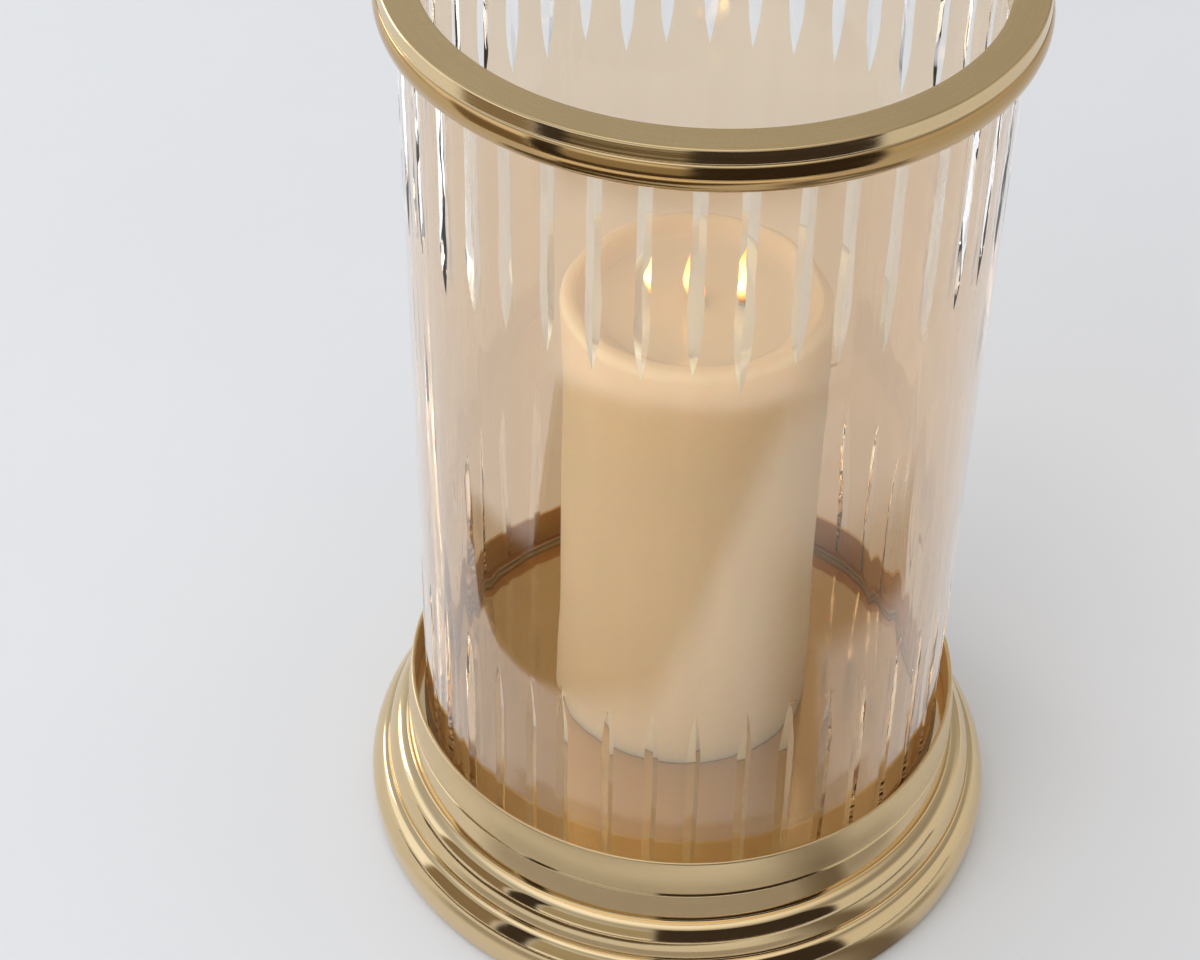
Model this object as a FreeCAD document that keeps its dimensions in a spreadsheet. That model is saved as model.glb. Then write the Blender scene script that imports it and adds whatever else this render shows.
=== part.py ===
import FreeCAD, Part
import Sketcher
import math
import os
import sys

# Hurricane candle lantern: stepped foot with a collar and a polished candle
# plate, a fluted glass cylinder with a rim ring that lifts off, and a pillar
# candle that stands free on the plate, a little behind the middle.
# Origin at the centre of the underside, +Z up, millimetres.

doc = FreeCAD.newDocument("HurricaneLantern")

# ---------------------------------------------------------------- dimensions
SIZES = [
    # glass cylinder
    ("glass_rad", 80.0), ("glass_bore", 76.5), ("glass_low", 40.9),
    ("glass_high", 294.6), ("glass_ease", 0.8),
    # cut flutes: dagger outlines, upper row hangs from the ring, lower row
    # rises from the collar, half a pitch apart
    ("flute_deep", 0.9), ("flute_count", 40.0), ("flute_reach", 4.0),
    ("upper_root_half", 2.05), ("upper_waist_half", 1.55), ("upper_belly_half", 2.25),
    ("upper_root_z", 291.0), ("upper_waist_z", 274.0), ("upper_belly_z", 244.0),
    ("upper_tip_z", 228.0),
    ("lower_root_half", 1.25), ("lower_belly_half", 1.6),
    ("lower_root_z", 44.0), ("lower_belly_z", 92.0), ("lower_tip_z", 109.0),
    ("lower_turn", 4.5),
    # rim ring: inverted channel over the top edge of the glass
    ("ring_bore", 74.8), ("ring_high", 298.5), ("ring_low", 286.5),
    ("ring_ease", 0.4), ("ring_edge_rad", 84.2),
    ("ring_band_rad", 84.6), ("ring_band_z", 294.9),
    ("ring_line_rad", 84.15), ("ring_line_z", 294.55),
    ("ring_bead_rad", 84.7), ("ring_bead_z", 294.15),
    ("ring_bead_arc", 6.0),
    ("ring_tuck_rad", 84.9), ("ring_tuck_z", 288.7),
    ("ring_heel_rad", 83.2), ("ring_heel_arc", 3.0),
    ("chan_bore", 76.2), ("chan_rad", 80.3), ("chan_high", 296.0),
    ("bed_bore", 76.5), ("bed_rad", 80.0),
    # collar ring
    ("collar_bore", 83.2), ("collar_lip_rad", 84.4), ("collar_lip_z", 51.5),
    ("collar_lip_arc", 0.66), ("collar_skirt_rad", 85.5), ("collar_skirt_z", 39.95),
    ("collar_foot_rad", 84.9), ("collar_arc", 60.0),
    # stepped foot: a short straight band under the collar, then two rounded
    # steps, each a quick roll at the top that eases into its wall
    ("deck_high", 39.4), ("deck_under", 37.4), ("deck_hole", 8.2), ("rod_hole", 3.4),
    ("band_rad", 85.5), ("band_z", 38.8), ("band_low_rad", 86.3), ("band_low_z", 29.0),
    ("step_b_in_rad", 86.6), ("step_b_in_z", 28.7), ("step_b_roll", 4.5),
    ("step_b_rad", 90.2), ("step_b_z", 26.6), ("step_b_arc", 15.0),
    ("step_b_low_rad", 92.6), ("step_b_low_z", 18.5),
    ("step_c_in_rad", 92.9), ("step_c_in_z", 18.1), ("step_c_roll", 2.4),
    ("step_c_rad", 94.6), ("step_c_z", 17.4), ("step_c_arc", 13.0),
    ("belly_rad", 98.5), ("belly_z", 9.6), ("belly_arc", 30.0),
    ("heel_rad", 97.9), ("heel_z", 2.4), ("toe_arc", 2.2),
    ("toe_rad", 96.9), ("toe_z", 0.8),
    ("skirt_bore", 96.0), ("flange_low", 3.0), ("flange_high", 4.6),
    ("flange_bore", 84.0),
    ("inner_a_rad", 95.8), ("inner_b_rad", 96.2), ("inner_b_z", 9.0),
    ("inner_c_rad", 93.4), ("inner_c_z", 14.8), ("inner_d_rad", 90.5), ("inner_d_z", 16.0),
    ("inner_e_rad", 90.0), ("inner_e_z", 20.5), ("inner_f_rad", 87.5), ("inner_f_z", 25.0),
    ("inner_g_rad", 84.1), ("inner_g_z", 26.7), ("inner_h_rad", 83.4),
    # candle plate: a thin disc on the deck, with a boss below it
    ("plate_edge_rad", 75.8), ("plate_edge_z", 40.1), ("plate_edge_arc", 0.3),
    ("plate_top_rad", 75.5), ("plate_high", 40.4),
    ("boss_rad", 8.0), ("boss_low", 30.4), ("boss_hole", 3.0), ("boss_hole_z", 38.4),
    # cushion ring under the glass
    ("seat_bore", 76.2), ("seat_rad", 80.6),
    # closing disc, tie rod and felt
    ("plate_rad", 95.2), ("plate_low", 1.5), ("dish_rad", 18.0), ("dish_slope_rad", 24.0),
    ("dish_under", 9.0), ("dish_high", 10.5), ("dish_slope_top_rad", 24.9),
    ("dish_top_rad", 18.9),
    ("felt_rad", 94.8),
    ("rod_rad", 2.95), ("rod_low", 2.0), ("rod_high", 38.2), ("rod_ease", 0.6),
    ("washer_rad", 7.0), ("washer_low", 7.6), ("washer_bore", 3.2),
    ("nut_circum", 5.77), ("nut_deep", 5.0), ("nut_low", 2.6), ("nut_bore", 3.0),
    # pillar candle: burned a little, with a pool inside a standing rim of wax
    ("candle_y", 5.3),
    ("wax_rad", 38.8), ("wax_high", 193.0), ("wax_round", 2.0), ("wax_shoulder_rad", 36.8),
    ("wax_shoulder_z", 191.0), ("wax_crest_rad", 34.6), ("well_rad", 31.5), ("well_z", 189.6),
    ("pool_rad", 28.5), ("pool_z", 187.6),
    ("wax_foot_rad", 37.3), ("wax_foot_z", 41.9), ("wax_foot_arc", 1.5),
    ("wick_hole", 1.25), ("tab_room_rad", 10.0), ("tab_high", 41.2),
    ("neck_room_rad", 2.6), ("neck_room_z", 47.4),
    ("wick_rad", 1.2), ("wick_high", 195.0),
    ("tab_rad", 9.6), ("tab_low", 40.6), ("neck_rad", 2.3), ("neck_bore", 1.3),
    ("neck_high", 47.0),
]
D = dict(SIZES)

sheet = doc.addObject("Spreadsheet::Sheet", "Dims")
for row, (name, val) in enumerate(SIZES, 1):
    sheet.set("A%d" % row, name)
    sheet.set("B%d" % row, "%g" % val)
    sheet.setAlias("B%d" % row, name)
doc.recompute()


def amount(expr):
    """Value of a sum such as 'glass_rad - flute_deep'."""
    total, sign = 0.0, 1.0
    for word in expr.split():
        if word == "+":
            sign = 1.0
        elif word == "-":
            sign = -1.0
        else:
            total += sign * (D[word] if word in D else float(word))
            sign = 1.0
    return total


def bound(expr):
    """The same sum written against the sheet's cells."""
    return " ".join("Dims." + w if w in D else w for w in expr.split())


def origin_item(body, role):
    for item in body.Origin.OriginFeatures:
        if item.Role == role:
            return item
    raise RuntimeError("no " + role)


def closed_profile(sketch, pts):
    """Closed outline. Each point is (x, y) or (x, y, radius, side); the last
    two make the edge from that point to the next an arc bulging to its left
    (side 1) or right (side -1). Every point is placed from the sheet."""
    n = len(pts)
    xy = [(amount(p[0]), amount(p[1])) for p in pts]
    ends = []
    for i, p in enumerate(pts):
        a, b = xy[i], xy[(i + 1) % n]
        if len(p) == 2:
            g = sketch.addGeometry(Part.LineSegment(FreeCAD.Vector(a[0], a[1], 0),
                                                    FreeCAD.Vector(b[0], b[1], 0)), False)
            ends.append((g, 1, 2))
            continue
        rad, side = amount(p[2]), p[3]
        mx, my = (a[0] + b[0]) / 2.0, (a[1] + b[1]) / 2.0
        dx, dy = b[0] - a[0], b[1] - a[1]
        chord = math.hypot(dx, dy)
        gap = math.sqrt(max(rad * rad - chord * chord / 4.0, 0.0))
        # centre lies on the side away from the bulge
        cx, cy = mx + side * dy / chord * gap, my - side * dx / chord * gap
        t0 = math.atan2(a[1] - cy, a[0] - cx)
        t1 = math.atan2(b[1] - cy, b[0] - cx)
        ring = Part.Circle(FreeCAD.Vector(cx, cy, 0), FreeCAD.Vector(0, 0, 1), rad)
        if side < 0:
            if t1 < t0:
                t1 += 2 * math.pi
            g = sketch.addGeometry(Part.ArcOfCircle(ring, t0, t1), False)
            ends.append((g, 1, 2))
        else:
            if t0 < t1:
                t0 += 2 * math.pi
            g = sketch.addGeometry(Part.ArcOfCircle(ring, t1, t0), False)
            ends.append((g, 2, 1))
    for i in range(n):
        g, _, last = ends[i]
        h, first, _ = ends[(i + 1) % n]
        sketch.addConstraint(Sketcher.Constraint("Coincident", g, last, h, first))
    for i, p in enumerate(pts):
        g, first, _ = ends[i]
        for axis, word, kind in ((-2, p[0], "DistanceX"), (-1, p[1], "DistanceY")):
            v = amount(word)
            if abs(v) < 1e-9:
                sketch.addConstraint(Sketcher.Constraint("PointOnObject", g, first, axis))
                continue
            if v > 0:
                k = sketch.addConstraint(Sketcher.Constraint(kind, -1, 1, g, first, v))
                sketch.setExpression("Constraints[%d]" % k, bound(word))
            else:
                k = sketch.addConstraint(Sketcher.Constraint(kind, g, first, -1, 1, -v))
                flip = " ".join({"+": "-", "-": "+"}.get(w, w) for w in word.split()[1:]) \
                    if word.startswith("- ") else "0 - ( " + word + " )"
                sketch.setExpression("Constraints[%d]" % k, bound(flip))
        if len(p) == 4:
            k = sketch.addConstraint(Sketcher.Constraint("Radius", g, amount(p[2])))
            sketch.setExpression("Constraints[%d]" % k, bound(p[2]))


def turned(label, pts):
    """A piece turned about the lantern's axis from an outline in r and z."""
    body = doc.addObject("PartDesign::Body", label)
    body.Label = label
    sk = body.newObject("Sketcher::SketchObject", label + "_outline")
    sk.AttachmentSupport = [(origin_item(body, "XZ_Plane"), "")]
    sk.MapMode = "FlatFace"
    doc.recompute()
    closed_profile(sk, pts)
    doc.recompute()
    rev = body.newObject("PartDesign::Revolution", label + "_turning")
    rev.Profile = sk
    rev.ReferenceAxis = (sk, ["V_Axis"])
    rev.Angle = 360.0
    body.Tip = rev
    doc.recompute()
    return body


def cut_row(body, name, pts, turn):
    """One row of cut flutes: an outline cut into the outer face, repeated."""
    sk = body.newObject("Sketcher::SketchObject", name + "_outline")
    sk.AttachmentSupport = [(origin_item(body, "XZ_Plane"), "")]
    sk.MapMode = "FlatFace"
    deg = amount(turn)
    out = amount("glass_rad - flute_deep")
    sk.AttachmentOffset = FreeCAD.Placement(
        FreeCAD.Vector(out * math.sin(math.radians(deg)), 0, out * math.cos(math.radians(deg))),
        FreeCAD.Rotation(FreeCAD.Vector(0, 1, 0), deg))
    sk.setExpression("AttachmentOffset.Base.x",
                     "(Dims.glass_rad - Dims.flute_deep) * sin(%s * 1 deg)" % bound(turn))
    sk.setExpression("AttachmentOffset.Base.z",
                     "(Dims.glass_rad - Dims.flute_deep) * cos(%s * 1 deg)" % bound(turn))
    doc.recompute()
    closed_profile(sk, pts)
    doc.recompute()
    before = body.Shape.Volume
    cut = body.newObject("PartDesign::Pocket", name + "_cut")
    cut.Profile = sk
    cut.Type = 0
    cut.Reversed = True
    cut.setExpression("Length", "Dims.flute_reach")
    body.Tip = cut
    doc.recompute()
    one = before - body.Shape.Volume
    if one < 5.0:
        raise RuntimeError(name + " cuts nothing")
    row = body.newObject("PartDesign::PolarPattern", name + "_row")
    row.Originals = [cut]
    row.Axis = (origin_item(body, "Z_Axis"), [""])
    row.Angle = 360.0
    row.setExpression("Occurrences", "Dims.flute_count")
    body.Tip = row
    doc.recompute()
    whole = before - body.Shape.Volume
    if abs(whole - one * D["flute_count"]) > 0.02 * whole:
        raise RuntimeError(name + " row is short: %g of %g" % (whole, one * D["flute_count"]))


# ---------------------------------------------------------------- base group
base_shell = turned("base_shell", [
    ("deck_hole", "deck_under"),
    ("inner_h_rad", "deck_under"),
    ("inner_g_rad", "inner_g_z"),
    ("inner_f_rad", "inner_f_z"),
    ("inner_e_rad", "inner_e_z"),
    ("inner_d_rad", "inner_d_z"),
    ("inner_c_rad", "inner_c_z"),
    ("inner_b_rad", "inner_b_z"),
    ("inner_a_rad", "flange_high"),
    ("flange_bore", "flange_high"),
    ("flange_bore", "flange_low"),
    ("skirt_bore", "flange_low"),
    ("skirt_bore", "toe_z"),
    ("toe_rad", "toe_z", "toe_arc", -1),
    ("heel_rad", "heel_z", "belly_arc", -1),
    ("belly_rad", "belly_z", "step_c_arc", -1),
    ("step_c_rad", "step_c_z", "step_c_roll", -1),
    ("step_c_in_rad", "step_c_in_z"),
    ("step_b_low_rad", "step_b_low_z", "step_b_arc", -1),
    ("step_b_rad", "step_b_z", "step_b_roll", -1),
    ("step_b_in_rad", "step_b_in_z"),
    ("band_low_rad", "band_low_z"),
    ("band_rad", "band_z"),
    ("collar_foot_rad", "deck_high"),
    ("deck_hole", "deck_high"),
])

collar_ring = turned("collar_ring", [
    ("collar_bore", "deck_high"),
    ("collar_foot_rad", "deck_high"),
    ("collar_skirt_rad", "collar_skirt_z", "collar_arc", -1),
    ("collar_lip_rad", "collar_lip_z", "collar_lip_arc", -1),
    ("collar_bore", "collar_lip_z"),
])

# The candle plate is a thin polished disc that lies on the deck inside the
# glass. Its boss goes down through the deck and takes the tie rod, which draws
# plate, deck and closing disc together.
candle_plate = turned("candle_plate", [
    ("0", "boss_hole_z"),
    ("boss_hole", "boss_hole_z"),
    ("boss_hole", "boss_low"),
    ("boss_rad", "boss_low"),
    ("boss_rad", "deck_high"),
    ("plate_edge_rad", "deck_high"),
    ("plate_edge_rad", "plate_edge_z", "plate_edge_arc", -1),
    ("plate_top_rad", "plate_high"),
    ("0", "plate_high"),
])

seat_ring = turned("seat_ring", [
    ("seat_bore", "deck_high"),
    ("seat_rad", "deck_high"),
    ("seat_rad", "glass_low"),
    ("seat_bore", "glass_low"),
])

base_plate = turned("base_plate", [
    ("rod_hole", "dish_under"),
    ("dish_rad", "dish_under"),
    ("dish_slope_rad", "plate_low"),
    ("plate_rad", "plate_low"),
    ("plate_rad", "flange_low"),
    ("dish_slope_top_rad", "flange_low"),
    ("dish_top_rad", "dish_high"),
    ("rod_hole", "dish_high"),
])

tie_rod = turned("tie_rod", [
    ("0", "rod_low"),
    ("rod_rad - rod_ease", "rod_low"),
    ("rod_rad", "rod_low + rod_ease"),
    ("rod_rad", "rod_high - rod_ease"),
    ("rod_rad - rod_ease", "rod_high"),
    ("0", "rod_high"),
])

tie_washer = turned("tie_washer", [
    ("washer_bore", "washer_low"),
    ("washer_rad", "washer_low"),
    ("washer_rad", "dish_under"),
    ("washer_bore", "dish_under"),
])

nut_hex = doc.addObject("Part::Prism", "nut_hex")
nut_hex.Polygon = 6
nut_hex.setExpression("Circumradius", "Dims.nut_circum")
nut_hex.setExpression("Height", "Dims.nut_deep")
nut_hex.setExpression("Placement.Base.z", "Dims.nut_low")
nut_hole = doc.addObject("Part::Cylinder", "nut_hole")
nut_hole.setExpression("Radius", "Dims.nut_bore")
nut_hole.setExpression("Height", "Dims.nut_deep + 2")
nut_hole.setExpression("Placement.Base.z", "Dims.nut_low - 1")
tie_nut = doc.addObject("Part::Cut", "tie_nut")
tie_nut.Base = nut_hex
tie_nut.Tool = nut_hole
tie_nut.Label = "tie_nut"
doc.recompute()

felt_pad = turned("felt_pad", [
    ("0", "0"),
    ("felt_rad", "0"),
    ("felt_rad", "plate_low"),
    ("0", "plate_low"),
])

# --------------------------------------------------------------- shade group
glass_shade = turned("glass_shade", [
    ("glass_bore + glass_ease", "glass_low"),
    ("glass_rad - glass_ease", "glass_low"),
    ("glass_rad", "glass_low + glass_ease"),
    ("glass_rad", "glass_high - glass_ease"),
    ("glass_rad - glass_ease", "glass_high"),
    ("glass_bore + glass_ease", "glass_high"),
    ("glass_bore", "glass_high - glass_ease"),
    ("glass_bore", "glass_low + glass_ease"),
])
cut_row(glass_shade, "upper_flute", [
    ("upper_root_half", "upper_root_z"),
    ("- upper_root_half", "upper_root_z"),
    ("- upper_waist_half", "upper_waist_z"),
    ("- upper_belly_half", "upper_belly_z"),
    ("0", "upper_tip_z"),
    ("upper_belly_half", "upper_belly_z"),
    ("upper_waist_half", "upper_waist_z"),
], "0")
cut_row(glass_shade, "lower_flute", [
    ("- lower_root_half", "lower_root_z"),
    ("lower_root_half", "lower_root_z"),
    ("lower_belly_half", "lower_belly_z"),
    ("0", "lower_tip_z"),
    ("- lower_belly_half", "lower_belly_z"),
], "lower_turn")

rim_ring = turned("rim_ring", [
    ("ring_bore", "ring_low"),
    ("chan_bore", "ring_low"),
    ("chan_bore", "chan_high"),
    ("chan_rad", "chan_high"),
    ("chan_rad", "ring_low"),
    ("ring_heel_rad", "ring_low", "ring_heel_arc", -1),
    ("ring_tuck_rad", "ring_tuck_z", "ring_bead_arc", -1),
    ("ring_bead_rad", "ring_bead_z"),
    ("ring_line_rad", "ring_line_z"),
    ("ring_band_rad", "ring_band_z"),
    ("ring_edge_rad", "ring_high - ring_ease"),
    ("ring_edge_rad - ring_ease", "ring_high"),
    ("ring_bore + ring_ease", "ring_high"),
    ("ring_bore", "ring_high - ring_ease"),
])

rim_bedding = turned("rim_bedding", [
    ("bed_bore", "glass_high"),
    ("bed_rad", "glass_high"),
    ("bed_rad", "chan_high"),
    ("bed_bore", "chan_high"),
])

# -------------------------------------------------------------- candle group
candle_body = turned("candle_body", [
    ("wick_hole", "neck_room_z"),
    ("neck_room_rad", "neck_room_z"),
    ("neck_room_rad", "tab_high"),
    ("tab_room_rad", "tab_high"),
    ("tab_room_rad", "plate_high"),
    ("wax_foot_rad", "plate_high", "wax_foot_arc", -1),
    ("wax_rad", "wax_foot_z"),
    ("wax_rad", "wax_shoulder_z", "wax_round", -1),
    ("wax_shoulder_rad", "wax_high"),
    ("wax_crest_rad", "wax_high"),
    ("well_rad", "well_z"),
    ("pool_rad", "pool_z"),
    ("wick_hole", "pool_z"),
])

wick = doc.addObject("Part::Cylinder", "wick")
wick.Label = "wick"
wick.setExpression("Radius", "Dims.wick_rad")
wick.setExpression("Height", "Dims.wick_high - Dims.tab_high")
wick.setExpression("Placement.Base.z", "Dims.tab_high")

wick_sustainer = turned("wick_sustainer", [
    ("0", "tab_low"),
    ("tab_rad", "tab_low"),
    ("tab_rad", "tab_high"),
    ("neck_rad", "tab_high"),
    ("neck_rad", "neck_high"),
    ("neck_bore", "neck_high"),
    ("neck_bore", "tab_high"),
    ("0", "tab_high"),
])

# the candle stands a little behind the lantern's axis
for piece in (candle_body, wick, wick_sustainer):
    piece.setExpression("Placement.Base.y", "Dims.candle_y")

doc.recompute()

# ---------------------------------------------------------- check and export
PIECES = [base_shell, collar_ring, candle_plate, seat_ring, base_plate, tie_rod,
          tie_washer, tie_nut, felt_pad, glass_shade, rim_ring, rim_bedding,
          candle_body, wick, wick_sustainer]

bad = []
for obj in doc.Objects:
    if "Invalid" in obj.State or "Error" in obj.State:
        bad.append("%s: %s" % (obj.Name, obj.State))
for obj in PIECES:
    shp = obj.Shape
    if shp.isNull() or not shp.isValid() or len(shp.Solids) != 1:
        bad.append("%s: shape null, not valid or not one solid" % obj.Label)
if bad:
    print("\n".join(bad))
    sys.exit(1)

os.makedirs("parts", exist_ok=True)
for obj in PIECES:
    box = obj.Shape.optimalBoundingBox(False)
    print("%-15s vol %10.1f  z %7.2f..%7.2f  r %6.2f" % (
        obj.Label, obj.Shape.Volume, box.ZMin, box.ZMax, box.XMax))
    obj.Shape.exportStep("parts/%s.step" % obj.Label)
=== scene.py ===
import math

import bpy
import numpy as np
from mathutils import Matrix


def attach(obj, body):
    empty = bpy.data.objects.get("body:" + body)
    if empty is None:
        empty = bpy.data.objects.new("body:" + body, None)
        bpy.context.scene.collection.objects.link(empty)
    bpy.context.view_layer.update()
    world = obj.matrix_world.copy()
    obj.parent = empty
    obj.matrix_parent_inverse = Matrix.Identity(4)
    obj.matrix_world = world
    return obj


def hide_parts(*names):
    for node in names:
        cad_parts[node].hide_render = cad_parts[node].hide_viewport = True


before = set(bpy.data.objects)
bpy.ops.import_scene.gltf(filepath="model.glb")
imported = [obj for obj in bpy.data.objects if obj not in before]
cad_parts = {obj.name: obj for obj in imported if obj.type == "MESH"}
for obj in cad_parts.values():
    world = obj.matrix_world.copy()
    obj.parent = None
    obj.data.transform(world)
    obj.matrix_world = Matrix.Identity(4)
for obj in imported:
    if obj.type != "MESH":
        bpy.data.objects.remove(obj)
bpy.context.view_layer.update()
scene = bpy.context.scene
MM = 0.001
# the candle stands this far behind the lantern's axis, in mm
CANDLE_Y = 5.3


# ------------------------------------------------------------------ camera
def aim_camera():
    yaw, pitch, roll = (math.radians(v) for v in (-2.669, 41.491, 0.908))
    fwd = np.array([math.sin(yaw) * math.cos(pitch), math.cos(yaw) * math.cos(pitch), -math.sin(pitch)])
    right = np.array([math.cos(yaw), -math.sin(yaw), 0.0])
    up = np.cross(right, fwd)
    r2 = math.cos(roll) * right + math.sin(roll) * up
    u2 = -math.sin(roll) * right + math.cos(roll) * up
    cam = bpy.data.cameras.new("photo_camera")
    cam.sensor_fit = "HORIZONTAL"
    cam.sensor_width = 36.0
    cam.lens = 2561.8 / 1200.0 * 36.0
    cam.clip_start = 0.01
    cam.clip_end = 50.0
    ob = bpy.data.objects.new("photo_camera", cam)
    ob.matrix_world = Matrix(((r2[0], u2[0], -fwd[0], 0.0),
                              (r2[1], u2[1], -fwd[1], -0.56504),
                              (r2[2], u2[2], -fwd[2], 0.624),
                              (0, 0, 0, 1)))
    scene.collection.objects.link(ob)
    scene.camera = ob


aim_camera()
scene.view_settings.view_transform = "Standard"
# light goes many times to and fro inside a cut glass wall
scene.cycles.max_bounces = 24
scene.cycles.glossy_bounces = 16
scene.cycles.transmission_bounces = 24


# ------------------------------------------------------------ node helpers
class Net:
    """A material's node tree, built with short calls."""

    def __init__(self, name):
        self.mat = bpy.data.materials.new(name)
        self.mat.use_nodes = True
        self.tree = self.mat.node_tree
        self.tree.nodes.clear()
        self.out = self.tree.nodes.new("ShaderNodeOutputMaterial")

    def put(self, node, key, value):
        sock = node.inputs[key]
        if isinstance(value, bpy.types.NodeSocket):
            self.tree.links.new(value, sock)
        else:
            sock.default_value = value

    def node(self, kind, props=None, ins=None):
        n = self.tree.nodes.new("ShaderNode" + kind)
        for k, v in (props or {}).items():
            setattr(n, k, v)
        for k, v in (ins or {}).items():
            self.put(n, k, v)
        return n

    def math(self, op, a, b=0.0, c=None):
        ins = {0: a, 1: b}
        if c is not None:
            ins[2] = c
        return self.node("Math", {"operation": op}, ins).outputs[0]

    def remap(self, v, a, b, c, d):
        return self.node("MapRange", {"clamp": True}, {0: v, 1: a, 2: b, 3: c, 4: d}).outputs[0]

    def smooth(self, v, a, b, c, d):
        return self.node("MapRange", {"clamp": True, "interpolation_type": "SMOOTHSTEP"},
                         {0: v, 1: a, 2: b, 3: c, 4: d}).outputs[0]

    def noise(self, vec, scale, detail=3.0, rough=0.55, distort=0.0):
        return self.node("TexNoise", {"noise_dimensions": "3D"},
                         {"Vector": vec, "Scale": scale, "Detail": detail, "Roughness": rough,
                          "Distortion": distort}).outputs[0]

    def mix(self, fac, a, b):
        n = self.node("Mix", {"data_type": "RGBA"})
        self.put(n, 0, fac)
        self.put(n, 6, a)
        self.put(n, 7, b)
        return n.outputs[2]

    def place(self, back=0.0):
        """Object position, its x, y, z, and its distance from the lantern's axis, or
        from an upright line that far behind it."""
        pos = self.node("TexCoord").outputs["Object"]
        sep = self.node("SeparateXYZ", None, {0: pos})
        x, y, z = sep.outputs
        flat = self.node("CombineXYZ", None, {0: x, 1: self.math("SUBTRACT", y, back)})
        rad = self.node("VectorMath", {"operation": "LENGTH"}, {0: flat.outputs[0]}).outputs["Value"]
        return pos, x, y, z, rad

    def surface(self, shader):
        self.tree.links.new(shader, self.out.inputs["Surface"])
        return self.mat


def tone(rgb, k=1.0):
    return (min(rgb[0] * k, 1.0), min(rgb[1] * k, 1.0), min(rgb[2] * k, 1.0), 1.0)


# -------------------------------------------------------------- materials
BRASS = (0.78, 0.60, 0.345)


def brass(name, rough, line_rough, line_bump, smudge, base=BRASS, aniso=0.0, grain=1.0, metal=1.0):
    """Spun brass-finish metal: fine turning lines round the axis, a soft cloud of
    handling marks in gloss and colour, and a little deeper gold in the lines."""
    t = Net(name)
    pos, x, y, z, rad = t.place()
    fine = t.node("CombineXYZ", None, {0: t.math("MULTIPLY", rad, 2100.0 * grain),
                                       1: t.math("MULTIPLY", z, 2100.0 * grain),
                                       2: t.math("MULTIPLY", x, 9.0)}).outputs[0]
    lines = t.noise(fine, 1.0, 4.0, 0.62)
    wide = t.node("CombineXYZ", None, {0: t.math("MULTIPLY", rad, 420.0),
                                       1: t.math("MULTIPLY", z, 420.0),
                                       2: t.math("MULTIPLY", y, 14.0)}).outputs[0]
    bands = t.noise(wide, 1.0, 2.0, 0.5)
    cloud = t.noise(pos, 32.0, 5.0, 0.6, 0.4)
    r = t.math("ADD", t.remap(lines, 0.3, 0.7, rough - line_rough, rough + line_rough),
               t.remap(cloud, 0.35, 0.7, -smudge, smudge))
    r = t.math("ADD", r, t.remap(bands, 0.3, 0.7, -0.5 * line_rough, 0.5 * line_rough))
    col = t.mix(t.remap(cloud, 0.3, 0.7, 0.0, 1.0), tone(base, 0.97), tone(base, 1.03))
    col = t.mix(t.remap(lines, 0.35, 0.6, 0.35, 0.0), col, tone((base[0] * 0.93, base[1] * 0.87, base[2] * 0.74)))
    bump = t.node("Bump", None, {"Strength": line_bump, "Distance": 0.00012,
                                 "Height": t.math("ADD", lines, t.math("MULTIPLY", bands, 0.6))})
    p = t.node("BsdfPrincipled", None, {"Base Color": col, "Metallic": metal, "Roughness": r,
                                        "Normal": bump.outputs[0], "Anisotropic": aniso})
    if aniso:
        tan = t.node("Tangent", {"direction_type": "RADIAL", "axis": "Z"})
        t.put(p, "Tangent", tan.outputs[0])
    return t.surface(p.outputs[0])


# one wall's tint as light comes straight through it
TINT = (0.93, 0.775, 0.60)


def glass(name, colour, veil, lustre=0.0):
    """Clear soda glass, with the faint streaks of hand-drawn glass in its tint. The
    tinted skin has a lustre of its own."""
    t = Net(name)
    pos, x, y, z, rad = t.place()
    streak = t.node("VectorMath", {"operation": "MULTIPLY"}, {0: pos, 1: (90.0, 90.0, 7.0)}).outputs[0]
    n = t.noise(streak, 1.0, 3.0, 0.5, 0.6)
    base = t.mix(t.remap(n, 0.3, 0.7, 0.0, 1.0), tone(colour, 0.975), tone(colour, 1.02))
    p = t.node("BsdfPrincipled", None, {"Base Color": base, "Roughness": 0.012, "IOR": 1.5,
                                        "Transmission Weight": 1.0, "Coat Weight": lustre, "Coat IOR": 1.7,
                                        "Coat Roughness": 0.02})
    clear = t.node("BsdfTransparent", None, {"Color": tone(veil)})
    path = t.node("LightPath")
    both = t.node("MixShader", None, {0: path.outputs["Is Shadow Ray"], 1: p.outputs[0], 2: clear.outputs[0]})
    return t.surface(both.outputs[0])


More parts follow.
